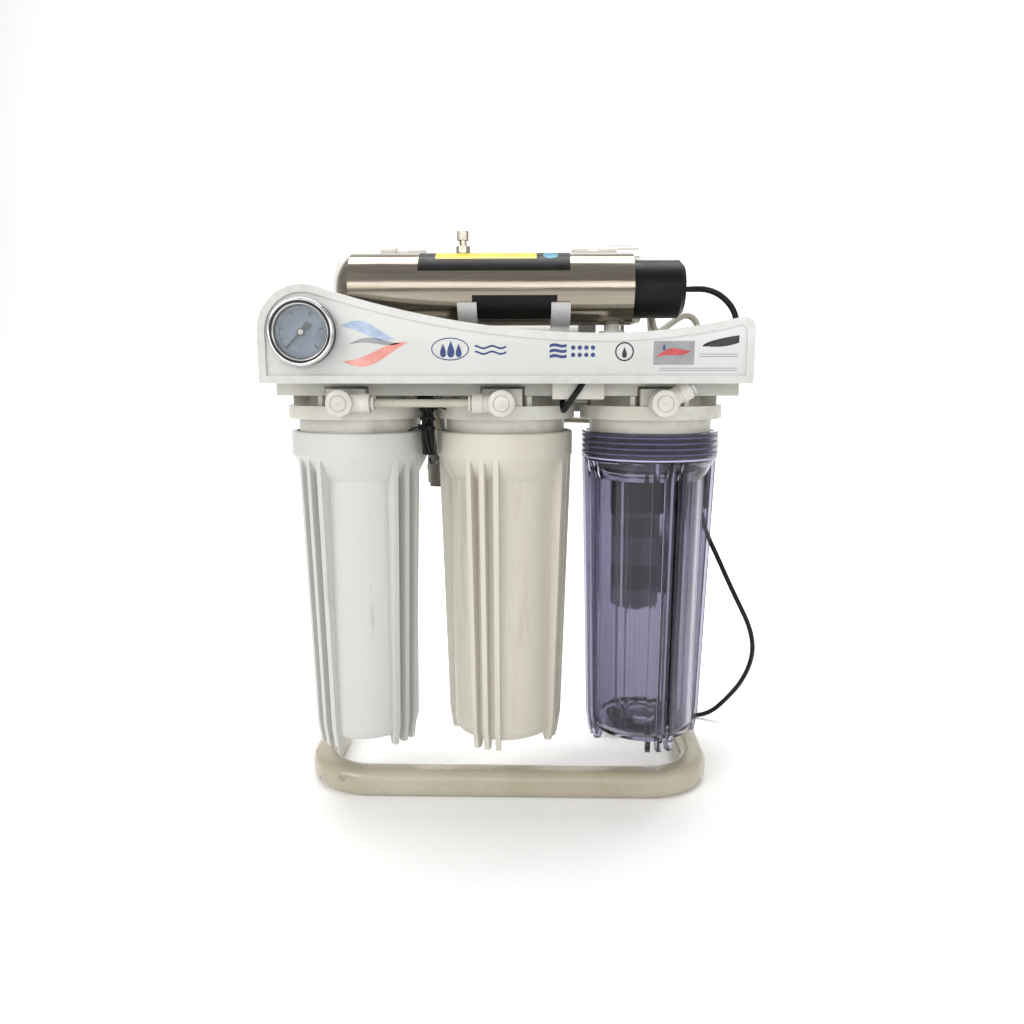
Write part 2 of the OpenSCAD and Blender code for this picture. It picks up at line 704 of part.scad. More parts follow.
module bleed_valve_knob() {
  color("lightgray") {
    translate([-34.5, uv_y, uv_z + uv_d / 2 + 1]) cylinder(h = 10, r = 1.45);
    translate([-34.5, uv_y, uv_z + uv_d / 2 + 6]) cylinder(h = 4.5, r = 3);
    translate([-34.5, uv_y, uv_z + uv_d / 2 + 10]) difference() {
      cylinder(h = 7, r = 5);
      for (a = [0 : 30 : 330]) rotate([0, 0, a]) translate([5.4, 0, -1]) cylinder(h = 9, r = 0.9, $fn = 16);
    }
  }
}

// A spring clip open at the top whose post stands on the bracket
module saddle_clip(x, y, z, r, front_gap, back_gap) {
  difference() {
    union() {
      translate([x - 7.5, y, z]) along_x(15, r + 2.5);
      translate([x - 7.5, y - 8, bracket_z]) cube([15, 16, z - bracket_z]);
    }
    translate([x - 8.5, y, z]) along_x(17, r);
    translate([x - 8.5, y, z]) rotate([90, 0, 90]) linear_extrude(17)
      polygon([[0, 0], [-90 * cos(front_gap), 90 * sin(front_gap)], [-60, 90], [60, 90],
        [90 * cos(back_gap), 90 * sin(back_gap)]]);
  }
}

module housing_clips() {
  color("lightgray") {
    for (x = [-30, 43]) saddle_clip(x, uv_y, uv_z, uv_d / 2, -25, 62);
    for (x = [-90, 70]) saddle_clip(x, membrane_y, membrane_z, membrane_d / 2, 12, 12);
    for (x = [-60, 50]) saddle_clip(x, post_y, post_z, post_r, 20, 20);
  }
}

// ---------------------------------------------------------------- membrane housing and post filter

module membrane_housing() {
  color("white") difference() {
    union() {
      translate([membrane_left + 12, membrane_y, membrane_z])
        along_x(membrane_right - membrane_left - 12, membrane_d / 2);
      intersection() {
        translate([membrane_left + 42, membrane_y, membrane_z]) sphere(r = 42);
        translate([membrane_left, membrane_y, membrane_z]) along_x(20, membrane_d / 2);
      }
    }
    translate([membrane_left + 16, membrane_y, membrane_z]) along_x(400, membrane_d / 2 - 3.5);
    translate([-135, membrane_y, membrane_z - membrane_d / 2 - 1]) cylinder(h = 8, r = port_bore);
    translate([-120, membrane_y + membrane_d / 2 + 1, membrane_z]) rotate([90, 0, 0])
      cylinder(h = 8, r = port_bore);
  }
}

module membrane_cap() {
  color("white") difference() {
    union() {
      translate([membrane_right, membrane_y, membrane_z]) along_x(cap_right - membrane_right, 33);
      for (a = [0 : 20 : 340]) translate([membrane_right, membrane_y, membrane_z]) rotate([a, 0, 0])
        translate([0, 31, -1.5]) cube([cap_right - membrane_right - 4, 3.2, 3]);
    }
    translate([membrane_right - 1, membrane_y, membrane_z]) along_x(25, membrane_d / 2 - 3.5);
    translate([membrane_right, membrane_y, membrane_z]) along_x(60, port_bore);
    translate([102, membrane_y, membrane_z - 40]) cylinder(h = 20, r = 2.1);
  }
}

module membrane_element() {
  color("lightblue") translate([-136, membrane_y, membrane_z]) {
    along_x(234, 23);
    translate([-3.5, 0, 0]) along_x(240, 8.5);
  }
}

module post_filter() {
  color("white") difference() {
    union() {
      translate([-78, post_y, post_z]) along_x(146, post_r);
      for (end = [[-90, 12, 20], [-104, 14, 8], [68, 12, 20], [80, 14, 8]])
        translate([end[0], post_y, post_z]) along_x(end[1], end[2]);
    }
    translate([-76, post_y, post_z]) along_x(142, post_r - 2.5);
    translate([-110, post_y, post_z]) along_x(210, seat_r);
  }
}

// A check valve and a straight connector in the valley between the two chambers
module inline_fittings() {
  color("white") for (x = [-106, 54]) translate([x, valley_y, valley_z]) difference() {
    union() {
      along_x(13, 8);
      translate([12, 0, 0]) along_x(12, 6);
      translate([23, 0, 0]) along_x(14, 7.5);
    }
    translate([-1, 0, 0]) along_x(40, seat_r);
  }
}

// ---------------------------------------------------------------- tubes

module feed_tubes() {
  color("white") {
    hose(valve_feed_route);
    hose(pump_feed_route);
    hose(membrane_feed_route);
  }
}

module product_tubes() {
  color("white") {
    hose(uv_outlet_route);
    hose(product_route);
    hose(post_inlet_route);
    hose(post_outlet_route);
    translate([-77, valley_y, valley_z]) along_x(139, hose_d / 2);
  }
}

module drain_tube() {
  color("white") hose(drain_route);
}

module gauge_tube() {
  color("white") swept(smooth_route(gauge_route, 3), 2);
}

// Plain spigots through the bracket's rear flange: product water on the right, drain on the left
module outlet_fittings() {
  color("white") for (x = [150, -155]) translate([x, 0, 358]) difference() {
    union() {
      translate([0, 62, 0]) along_y(bracket_back - sheet - 62, 7);
      translate([0, 70, 0]) along_y(14, 4.9);
      translate([0, bracket_back, 0]) rotate([-90, 0, 0]) cylinder(h = 5, r = 8, $fn = 6);
      translate([0, bracket_back, 0]) along_y(23, hose_d / 2);
    }
    translate([0, 60, 0]) along_y(50, 2);
    translate([0, 60, 0]) along_y(14, seat_r);
  }
}

// ---------------------------------------------------------------- pump, valve and electrics

module pump_motor() {
  color("gray") {
    translate([pump_x, pump_y, 150]) cylinder(h = 95, r = pump_r);
    translate([pump_x, pump_y, 144]) cylinder(h = 6, r = 12);
  }
}

module pump_head() {
  color("dimgray") difference() {
    union() {
      translate([pump_x - 27, pump_y - 30, 245]) cube([54, 60, 34]);
      translate([pump_x - 30, pump_y - 27, 245]) cube([60, 54, 34]);
      for (x = [-27, 27]) for (y = [-27, 27])
        translate([pump_x + x, pump_y + y, 245]) cylinder(h = 34, r = 3);
      translate([pump_x, pump_y, 279]) cylinder(h = 8, r = 22);
      for (x = [110, 137]) translate([x, pump_y, 279]) cylinder(h = 22, r = 7.5);
    }
    for (x = [110, 137]) {
      translate([x, pump_y, 288]) cylinder(h = 20, r = seat_r);
      translate([x, pump_y, 262]) cylinder(h = 30, r = 2.5);
    }
  }
}

module solenoid_valve() {
  color("tan") difference() {
    union() {
      translate([valve_x, valve_y, 270]) cylinder(h = 32, r = 9);
      translate([valve_x, valve_y, 300]) cylinder(h = 12, r = 7.5);
      translate([valve_x, valve_y, 280]) along_x(22, 7.5);
      translate([valve_x, valve_y, 287]) along_y(9.5, 9);
      translate([valve_x, valve_y, 287]) along_y(14, 7.5);
    }
    translate([valve_x, valve_y, 278]) cylinder(h = 40, r = seat_r);
    translate([valve_x, valve_y, 280]) along_x(30, seat_r);
  }
}

module solenoid_coil() {
  color("black") difference() {
    union() {
      translate([valve_x, valve_y + 12.5, 287]) along_y(24, 13);
      translate([valve_x - 8, valve_y + 14, 290]) cube([16, 18, 12]);
    }
    translate([valve_x, valve_y + 10, 287]) along_y(6, 7.6);
  }
}

module adapter_box() {
  color("black") {
    translate([157, 50, adapter_low]) cube([34, 27.5, 68]);
    translate([160, 53, adapter_low + 68]) cube([26, 10, 1.5]);
  }
}

module wiring_loom() {
  color("black") swept(smooth_route(loom_route, 3), 5.5, 10);
}

module uv_cable() {
  color("black") swept(smooth_route(uv_cable_route, 4), 2.6);
}

module cables() {
  color("black") {
    swept(smooth_route(supply_route, 3), 2.5);
    swept(smooth_route(valve_wire_route, 3), 1.6);
    swept(smooth_route(switch_wire_route, 3), 2.6);
  }
}

module pressure_switch() {
  color("whitesmoke") {
    translate([37, -78, 358]) cube([41, bracket_front + 78, 13]);
    translate([52, -74, 371]) cylinder(h = 2.5, r = 4);
  }
}

// ---------------------------------------------------------------- mains lead

module cord_strain_relief() {
  start = [183, 66, adapter_low];
  color("black") translate(start) rotate([0, 155, 0])
    cylinder(h = 23, r1 = 5.2, r2 = 3.1);
}

module power_cord() {
  color("black") swept(cord_route, cord_d / 2, 8);
}

module cord_coil() {
  color("black") translate([coil_x, coil_y, coil_thick / 2])
    rotate_extrude() translate([coil_d / 2, 0]) circle(r = coil_thick / 2);
}

module power_plug() {
  plug_x = coil_x - coil_d / 2;
  color("black") {
    translate([plug_x - plug_w / 2, coil_y - plug_len, plug_low]) cube([plug_w, plug_len, 17]);
    for (side = [-1, 1])
      translate([plug_x + side * blade_pitch / 2 - 0.75, coil_y - plug_len - blade_len, plug_low + 5.3])
        cube([1.5, blade_len, 6.3]);
  }
}

stand_tube();
top_bracket();
mount_plates();
bracket_bolts();
head_screws();
fascia_panel();
fascia_screws();
gauge_case();
gauge_bezel();
gauge_lens();
gauge_dial();
gauge_movement();
gauge_pointer();
head_left();
head_middle();
head_right();
bowl_seal_left();
bowl_seal_middle();
bowl_seal_right();
bowl_left();
bowl_middle();
bowl_clear();
sediment_cartridge();
carbon_cartridge();
front_elbows();
inlet_elbow();
inlet_collet();
rear_elbows();
link_tubes();
uv_chamber();
quartz_sleeve();
uv_lamp();
uv_end_boot();
housing_clips();
housing_elbows();
bleed_valve_body();
bleed_valve_knob();
uv_cable();
membrane_housing();
membrane_cap();
membrane_element();
post_filter();
inline_fittings();
feed_tubes();
product_tubes();
drain_tube();
gauge_tube();
pump_motor();
pump_head();
solenoid_valve();
solenoid_coil();
adapter_box();
wiring_loom();
cables();
pressure_switch();
outlet_fittings();
power_cord();
cord_coil();
power_plug();
cord_strain_relief();
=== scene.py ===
import json
import math

import bmesh
import bpy
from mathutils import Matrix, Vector


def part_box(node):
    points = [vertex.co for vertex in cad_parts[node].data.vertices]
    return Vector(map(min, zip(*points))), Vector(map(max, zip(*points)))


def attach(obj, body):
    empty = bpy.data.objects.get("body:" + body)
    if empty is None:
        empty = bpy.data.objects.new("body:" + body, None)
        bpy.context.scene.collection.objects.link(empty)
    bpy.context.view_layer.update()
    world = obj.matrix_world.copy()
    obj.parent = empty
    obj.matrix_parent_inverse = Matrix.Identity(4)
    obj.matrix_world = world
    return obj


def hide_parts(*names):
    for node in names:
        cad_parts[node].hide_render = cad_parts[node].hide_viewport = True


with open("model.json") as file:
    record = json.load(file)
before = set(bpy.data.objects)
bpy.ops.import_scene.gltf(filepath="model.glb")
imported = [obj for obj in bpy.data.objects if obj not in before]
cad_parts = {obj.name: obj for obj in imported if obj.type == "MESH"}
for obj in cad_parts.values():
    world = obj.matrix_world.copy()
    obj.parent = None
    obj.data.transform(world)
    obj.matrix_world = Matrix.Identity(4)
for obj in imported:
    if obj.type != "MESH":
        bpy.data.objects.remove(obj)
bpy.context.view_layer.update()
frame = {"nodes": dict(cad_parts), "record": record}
nodes = frame["nodes"]
scene = bpy.context.scene
MM = 0.001


# ---------------------------------------------------------------- camera

camera_data = bpy.data.cameras.new("camera")
camera_data.lens = 28.125
camera_data.sensor_width = 36.0
camera_data.clip_start = 0.01
camera = bpy.data.objects.new("camera", camera_data)
camera.location = (0.0184, -0.7201, 0.3747)
camera.rotation_euler = (math.radians(90 - 9.51), 0.0, 0.021)
scene.collection.objects.link(camera)
scene.camera = camera


# ---------------------------------------------------------------- helpers

def srgb(red, green, blue):
    """A colour given as 0-255 display values, in linear light."""
    out = []
    for value in (red, green, blue):
        value /= 255.0
        out.append(value / 12.92 if value <= 0.04045 else ((value + 0.055) / 1.055) ** 2.4)
    return (*out, 1.0)


def make_object(name, data, material, body="root"):
    obj = bpy.data.objects.new(name, data)
    scene.collection.objects.link(obj)
    if material is not None:
        data.materials.append(material)
    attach(obj, body)
    return obj


def mesh_from(name, build, smooth_angle=None):
    data = bpy.data.meshes.new(name)
    bm = bmesh.new()
    build(bm)
    bmesh.ops.recalc_face_normals(bm, faces=bm.faces)
    if smooth_angle is not None:
        for face in bm.faces:
            face.smooth = True
        for edge in bm.edges:
            if len(edge.link_faces) == 2 and edge.calc_face_angle(0.0) > smooth_angle:
                edge.smooth = False
    bm.to_mesh(data)
    bm.free()
    return data


def curve_from(name, points, radius, resolution=6, bevel=5):
    """A round cord along one open smooth spline that starts and ends on its end points."""
    data = bpy.data.curves.new(name, "CURVE")
    data.dimensions = "3D"
    data.resolution_u = resolution
    data.bevel_depth = radius
    data.bevel_resolution = bevel
    data.use_fill_caps = True
    spline = data.splines.new("NURBS")
    spline.points.add(len(points) - 1)
    for point, place in zip(spline.points, points):
        point.co = (*place, 1.0)
    spline.order_u = 4
    spline.use_endpoint_u = True
    return data


def metres(points):
    return [Vector(p) * MM for p in points]


def skin(bm, rows, around=False):
    """Faces between rows, each a closed loop of points. around joins the last row to the first."""
    count = len(rows[0])
    for a, b in zip(rows, rows[1:] + rows[:1] if around else rows[1:]):
        for k in range(count):
            bm.faces.new((a[k], a[(k + 1) % count], b[(k + 1) % count], b[k]))


def slab(bm, front, back):
    """A closed flat piece between two outlines with the same number of points."""
    bm.faces.new(front)
    bm.faces.new(list(reversed(back)))
    skin(bm, [front, back])


# ---------------------------------------------------------------- materials

def material(name, base, other, rough, metallic=0.0, scale=25.0, stretch=(1, 1, 1), bump=0.08,
             grain=900.0, wear=None, grime=None, zone=None, sockets=None):
    """A procedural finish: two mixed tones, uneven roughness, fine bump, worn edges and grime.

    wear is a tone, the range of edge sharpness it shows in, and its strength. grime is a tone, the
    size of its pattern, the range of it that shows, and its strength. zone is an axis and the two
    places on it between which the grime comes in.
    """
    mat = bpy.data.materials.new(name)
    mat.use_nodes = True
    tree = mat.node_tree
    tree.nodes.clear()
    new, link = tree.nodes.new, tree.links.new
    output = new("ShaderNodeOutputMaterial")
    shader = new("ShaderNodeBsdfPrincipled")
    link(shader.outputs[0], output.inputs[0])
    shader.inputs["Metallic"].default_value = metallic
    for key, value in (sockets or {}).items():
        shader.inputs[key].default_value = value
    place = new("ShaderNodeTexCoord")
    mapping = new("ShaderNodeMapping")
    mapping.inputs["Scale"].default_value = stretch
    link(place.outputs["Object"], mapping.inputs["Vector"])

    def noise(size, detail=4.0, stretched=True):
        node = new("ShaderNodeTexNoise")
        node.inputs["Scale"].default_value = size
        node.inputs["Detail"].default_value = detail
        source = mapping.outputs[0] if stretched else place.outputs["Object"]
        link(source, node.inputs["Vector"])
        return node.outputs["Fac"]

    def remap(value, low, high, to_low, to_high):
        node = new("ShaderNodeMapRange")
        for index, number in zip((1, 2, 3, 4), (low, high, to_low, to_high)):
            node.inputs[index].default_value = number
        link(value, node.inputs[0])
        return node.outputs[0]

    def multiply(a, b):
        node = new("ShaderNodeMath")
        node.operation = "MULTIPLY"
        link(a, node.inputs[0])
        link(b, node.inputs[1])
        return node.outputs[0]

    def mix(factor, a, b):
        node = new("ShaderNodeMix")
        node.data_type = "RGBA"
        link(factor, node.inputs[0])
        for socket, value in ((node.inputs[6], a), (node.inputs[7], b)):
            if isinstance(value, tuple):
                socket.default_value = value
            else:
                link(value, socket)
        return node.outputs[2]

    mask = None
    if zone is not None:
        axis, low, high = zone
        split = new("ShaderNodeSeparateXYZ")
        link(place.outputs["Object"], split.inputs[0])
        mask = remap(split.outputs[axis], low, high, 0.0, 1.0)

    colour = mix(remap(noise(scale), 0.35, 0.65, 0.0, 1.0), base, other)
    if grime is not None:
        tone, size, low, high, strength = grime
        spots = remap(noise(size, 6.0), low, high, 0.0, strength)
        if mask is not None:
            spots = multiply(spots, mask)
        colour = mix(spots, colour, tone)
    if wear is not None:
        tone, low, high, strength = wear
        geometry = new("ShaderNodeNewGeometry")
        edges = remap(geometry.outputs["Pointiness"], low, high, 0.0, strength)
        broken = remap(noise(90.0, 5.0, False), 0.42, 0.6, 0.0, 1.0)
        colour = mix(multiply(edges, broken), colour, tone)
    link(colour, shader.inputs["Base Color"])
    link(remap(noise(scale * 3.0, 5.0), 0.3, 0.7, rough[0], rough[1]), shader.inputs["Roughness"])
    if bump:
        height = new("ShaderNodeBump")
        height.inputs["Strength"].default_value = bump
        height.inputs["Distance"].default_value = 0.0004
        link(noise(grain, 3.0), height.inputs["Height"])
        link(height.outputs[0], shader.inputs["Normal"])
    return mat


DIRT = srgb(120, 108, 88)
DARK = srgb(52, 48, 44)
LONG_Z = (1.0, 1.0, 0.12)
LONG_X = (0.04, 1.0, 1.0)

finishes = {
    "stand_paint": material("cream_enamel", srgb(182, 175, 156), srgb(169, 161, 140), (0.22, 0.4),
                            scale=14, bump=0.12, grain=160,
                            grime=(srgb(92, 84, 82), 75, 0.63, 0.67, 0.7), zone=("X", -0.13, -0.165),
                            wear=(srgb(120, 105, 86), 0.53, 0.6, 0.14), sockets={"Coat Weight": 0.3}),
    "bracket_paint": material("bracket_enamel", srgb(196, 195, 188), srgb(180, 179, 172), (0.3, 0.5),
                              scale=20, grain=400, grime=(DIRT, 30, 0.56, 0.8, 0.14),
                              wear=(srgb(110, 104, 96), 0.53, 0.62, 0.12)),
    "zinc": material("zinc_plate", srgb(196, 196, 192), srgb(168, 168, 166), (0.25, 0.45), metallic=1.0,
                     scale=120, grain=700),
    "fascia_plastic": material("fascia_gloss", srgb(204, 206, 204), srgb(197, 198, 195), (0.14, 0.26),
                               scale=9, bump=0.03, grain=220, grime=(DIRT, 22, 0.6, 0.8, 0.18),
                               wear=(srgb(170, 164, 150), 0.53, 0.62, 0.3), sockets={"Coat Weight": 0.4}),
    "gauge_black": material("gauge_enamel", srgb(30, 30, 32), srgb(20, 20, 22), (0.3, 0.5), scale=60),
    "gauge_chrome": material("polished_bezel", srgb(214, 212, 212), srgb(190, 188, 188), (0.08, 0.2),
                             metallic=1.0, scale=80, bump=0.02),
    "gauge_glass": material("lens", srgb(235, 242, 245), srgb(222, 232, 238), (0.02, 0.06), scale=50,
                            bump=0.0, sockets={"Alpha": 0.07, "Coat Weight": 0.4}),
    "dial_face": material("dial_enamel", srgb(112, 124, 140), srgb(82, 95, 112), (0.4, 0.55), scale=150,
                          bump=0.02),
    "brass": material("plain_brass", srgb(190, 158, 84), srgb(168, 136, 70), (0.2, 0.4), metallic=1.0,
                      scale=90),
    "pointer_black": material("pointer_enamel", srgb(26, 26, 28), srgb(16, 16, 18), (0.3, 0.45), scale=200),
    "head_white": material("head_plastic", srgb(208, 207, 198), srgb(196, 194, 184), (0.25, 0.42), scale=18,
                           bump=0.05, grain=500, grime=(DIRT, 34, 0.52, 0.75, 0.35),
                           wear=(srgb(186, 180, 164), 0.52, 0.62, 0.35)),
    "rubber": material("seal_rubber", srgb(26, 26, 26), srgb(18, 18, 18), (0.5, 0.7), scale=80),
    "bowl_white": material("bowl_white_plastic", srgb(196, 197, 194), srgb(187, 188, 184), (0.3, 0.46),
                           scale=10, stretch=LONG_Z, bump=0.05, grain=420,
                           grime=(DARK, 60, 0.66, 0.76, 0.5), wear=(srgb(70, 64, 58), 0.56, 0.64, 0.5)),
    "bowl_cream": material("bowl_cream_plastic", srgb(204, 201, 190), srgb(195, 190, 177), (0.3, 0.46),
                           scale=9, stretch=LONG_Z, bump=0.05, grain=420,
                           grime=(DIRT, 42, 0.6, 0.76, 0.4), wear=(srgb(110, 98, 82), 0.56, 0.64, 0.45)),
    "bowl_tinted": material("bowl_tinted_plastic", srgb(171, 168, 183), srgb(164, 160, 178), (0.03, 0.09),
                            scale=16, stretch=LONG_Z, bump=0.02, grain=120,
                            sockets={"Transmission Weight": 1.0, "IOR": 1.42}),
    "felt_white": material("spun_fibre", srgb(236, 234, 228), srgb(222, 219, 210), (0.8, 0.95), scale=60,
                           bump=0.6, grain=600),
    "carbon_black": material("carbon_block", srgb(40, 40, 40), srgb(24, 24, 24), (0.7, 0.9), scale=80,
                             bump=0.5, grain=500),
    "fitting_white": material("fitting_acetal", srgb(202, 200, 191), srgb(190, 187, 177), (0.28, 0.42),
                              scale=60, bump=0.04, grime=(DIRT, 70, 0.56, 0.76, 0.35)),
    "collet_grey": material("collet_acetal", srgb(206, 207, 207), srgb(190, 191, 191), (0.3, 0.45),
                            scale=120),
    "hose_white": material("milky_tube", srgb(178, 176, 163), srgb(166, 163, 149), (0.25, 0.4), scale=40,
                           bump=0.04, sockets={"Subsurface Weight": 0.2, "Subsurface Scale": 0.002}),
    "stainless": material("stainless_tube", srgb(168, 160, 146), srgb(146, 137, 122), (0.1, 0.2),
                          metallic=1.0, scale=160, stretch=LONG_X, bump=0.06, grain=1500,
                          grime=(srgb(112, 100, 84), 16, 0.52, 0.72, 0.5)),
    "quartz": material("quartz_glass", srgb(232, 240, 248), srgb(222, 232, 244), (0.02, 0.05), scale=40,
                       bump=0.0, sockets={"Transmission Weight": 1.0}),
    "lamp_glass": material("lamp_tube", srgb(224, 228, 236), srgb(212, 218, 228), (0.15, 0.25), scale=60),
    "boot_black": material("boot_rubber", srgb(15, 16, 18), srgb(9, 10, 12), (0.34, 0.5), scale=30,
                           bump=0.14, grain=420, grime=(srgb(60, 58, 55), 60, 0.6, 0.8, 0.3),
                           sockets={"Specular IOR Level": 0.2}),
    "clip_grey": material("clip_plastic", srgb(204, 205, 204), srgb(190, 191, 190), (0.3, 0.45), scale=70),
    "valve_chrome": material("plated_valve", srgb(200, 194, 182), srgb(172, 164, 148), (0.12, 0.3),
                             metallic=1.0, scale=150, grime=(srgb(120, 100, 66), 120, 0.55, 0.75, 0.5)),
    "cable_black": material("cable_pvc", srgb(17, 17, 19), srgb(11, 11, 13), (0.36, 0.52), scale=90,
                            bump=0.1, grain=500, sockets={"Specular IOR Level": 0.25}),
    "housing_white": material("housing_plastic", srgb(226, 226, 220), srgb(214, 213, 205), (0.26, 0.42),
                              scale=14, bump=0.05, grain=420, grime=(DIRT, 30, 0.56, 0.78, 0.3)),
    "element_wrap": material("taped_roll", srgb(196, 210, 218), srgb(180, 196, 206), (0.4, 0.6), scale=40),
    "motor_grey": material("motor_can", srgb(206, 204, 208), srgb(192, 190, 194), (0.35, 0.5), scale=30,
                           bump=0.1, grain=300, wear=(srgb(160, 156, 150), 0.54, 0.62, 0.12)),
    "pump_black": material("pump_plastic", srgb(34, 34, 34), srgb(24, 24, 24), (0.42, 0.6), scale=40,
                           bump=0.15, grain=600),
    "valve_body": material("valve_plastic", srgb(128, 122, 114), srgb(104, 98, 92), (0.4, 0.55), scale=60,
                           bump=0.1, grime=(DARK, 60, 0.55, 0.75, 0.4)),
    "adapter_black": material("adapter_plastic", srgb(30, 30, 32), srgb(22, 22, 24), (0.5, 0.65), scale=40,
                              bump=0.3, grain=900),
    "switch_grey": material("switch_plastic", srgb(212, 211, 204), srgb(196, 194, 186), (0.35, 0.5),
                            scale=50),
}

for row in frame["record"]["subparts"]:
    node = nodes[row["node"]]
    finish = finishes[row["material_slot"]]
    if not node.material_slots:
        node.data.materials.append(finish)
    for holder in node.material_slots:
        holder.material = finish


def ink(name, base, other, scale, rough=(0.2, 0.35), bump=0.0, sockets=None):
    """A printed tone or a label's surface."""
    return material(name, base, other, rough, scale=scale, bump=bump, sockets=sockets)


print_navy = ink("print_navy", srgb(38, 52, 104), srgb(48, 64, 120), 60)
print_blue = ink("print_blue", srgb(132, 154, 186), srgb(176, 190, 208), 70)
print_coral = ink("print_coral", srgb(204, 116, 106), srgb(222, 160, 150), 50)
print_red = ink("print_red", srgb(176, 60, 62), srgb(196, 84, 84), 80)
print_grey = ink("print_grey", srgb(150, 152, 154), srgb(134, 136, 140), 60)
print_dark = ink("print_dark", srgb(46, 46, 50), srgb(30, 30, 34), 60, (0.12, 0.25))
label_black = ink("label_black", srgb(13, 13, 14), srgb(19, 18, 18), 60, (0.3, 0.45), 0.04,
                  {"Specular IOR Level": 0.2})
label_yellow = ink("label_yellow", srgb(226, 200, 48), srgb(206, 178, 40), 90, (0.3, 0.45), 0.02)
label_smoke = ink("label_smoke", srgb(92, 90, 96), srgb(104, 102, 107), 60, (0.35, 0.5), 0.04)
label_teal = ink("label_teal", srgb(40, 138, 170), srgb(30, 116, 148), 90, (0.3, 0.45), 0.02)


# ---------------------------------------------------------------- mains lead

CORD_R = 2.4 * MM
ROUTE = metres([
    (193, 66, 229), (197, 66, 219), (203, 66, 207), (209, 66, 195), (215, 66, 182),
    (222, 67, 168), (229, 68, 154), (236, 69, 141), (243, 71, 127), (248, 74, 113),
    (251, 78, 98), (251, 83, 84), (249, 89, 70), (246, 96, 57), (242, 103, 45),
    (237, 110, 34), (231, 116, 23), (224, 121, 13), (215, 125, 6), (206, 128, 3),
    (196, 130, 3), (186, 132, 4), (177, 135, 6), (168, 139, 9)])
COIL_CENTRE = Vector((136, 118, 8.5)) * MM
COIL_R = 28 * MM
WIND_R = 6.0 * MM
TURN_POINTS = 18
START_ANGLE, START_SIDE = math.radians(48), math.radians(45)
SIDE_PER_TURN = math.radians(47.5)
TURNS = 6.13


def coil_point(turned):
    """A place on the coil after so many turns: it climbs round the bundle as it winds."""
    angle = START_ANGLE + math.tau * turned
    side = START_SIDE - SIDE_PER_TURN * turned
    reach = COIL_R + WIND_R * math.cos(side)
    return COIL_CENTRE + Vector((reach * math.cos(angle), reach * math.sin(angle),
                                 WIND_R * math.sin(side)))


steps = int(TURNS * TURN_POINTS)
coil = [coil_point(i / TURN_POINTS) for i in range(steps + 1)]
plug_low, plug_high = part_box("power_plug")
plug_back = Vector(((plug_low.x + plug_high.x) / 2, plug_high.y, plug_low.z + 8.5 * MM))


def tail_point(t):
    """The last stretch: it leaves the top of the coil, still curving, and climbs into the plug's back."""
    start = START_ANGLE + math.tau * TURNS
    end = math.pi + math.tau * round((start - math.pi) / math.tau)
    angle = start + (end - start) * t
    left = coil_point(TURNS)
    reach = Vector((left.x - COIL_CENTRE.x, left.y - COIL_CENTRE.y)).length
    reach += (COIL_CENTRE.x - plug_back.x - reach) * t
    height = left.z + (plug_back.z - left.z) * t * t * (3 - 2 * t)
    return Vector((COIL_CENTRE.x + reach * math.cos(angle), COIL_CENTRE.y + reach * math.sin(angle), height))


TAIL_STEPS = 7
tail = [tail_point(i / TAIL_STEPS) for i in range(1, TAIL_STEPS + 1)]
line = ROUTE + coil + tail + [plug_back + Vector((0, -0.0015, 0))]
cord_data = curve_from("mains_lead", line, CORD_R, resolution=4, bevel=3)
cord = make_object("mains_lead", cord_data, finishes["cable_black"])
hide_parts("power_cord", "cord_coil")


def build_tie(bm):
    """A flat band round the coil's bundle."""
    ring, band = 28, 2.6 * MM
    inner, outer = 8.62 * MM, 9.35 * MM
    angle = math.radians(-60)
    out = Vector((math.cos(angle), math.sin(angle), 0))
    along = Vector((-math.sin(angle), math.cos(angle), 0))
    middle = Vector((COIL_CENTRE.x, COIL_CENTRE.y, 0)) + out * COIL_R
    rows = []
    for i in range(ring):
        a = math.tau * i / ring
        row = []
        for radius, shift in ((inner, -1), (outer, -1), (outer, 1), (inner, 1)):
            up = COIL_CENTRE.z + radius * math.sin(a)
            place = middle + out * (radius * math.cos(a)) + along * (shift * band)
            row.append(bm.verts.new((place.x, place.y, max(up, 0.0))))
        rows.append(row)
    skin(bm, rows, around=True)


tie = make_object("lead_tie", mesh_from("lead_tie", build_tie, math.radians(50)),
                  finishes["cable_black"])
PLUG_SIDES = 32


def build_plug(bm):
    """A moulded plug: a narrow neck that swells to a ribbed grip and a flat face.

    A station is a distance from the plug's back, half a width and half a height, in millimetres.
    """
    middle_x, middle_z = (plug_low.x + plug_high.x) / 2, plug_back.z
    stations = [(0.0, 3.4, 3.4), (3.0, 4.2, 4.0), (6.0, 5.6, 4.8)]
    for groove in range(4):
        stations += [(7.5 + 3.2 * groove, 8.0 + groove, 6.4 + 0.55 * groove),
                     (9.6 + 3.2 * groove, 8.3 + groove, 6.6 + 0.55 * groove),
                     (10.0 + 3.2 * groove, 7.4 + groove, 5.9 + 0.55 * groove)]
    stations += [(21.5, 11.9, 8.4), (32.6, 11.9, 8.4), (33.7, 11.2, 7.8), (34.0, 10.4, 7.2)]
    rings = []
    for back, wide, tall in stations:
        ring = []
        for i in range(PLUG_SIDES):
            a = math.tau * i / PLUG_SIDES
            x, z = math.cos(a), math.sin(a)
            ring.append(bm.verts.new((middle_x + math.copysign(abs(x) ** 0.6, x) * wide * MM,
                                      plug_back.y - back * MM,
                                      middle_z + math.copysign(abs(z) ** 0.6, z) * tall * MM)))
        rings.append(ring)
    skin(bm, rings)
    bm.faces.new(rings[0])
    bm.faces.new(rings[-1])


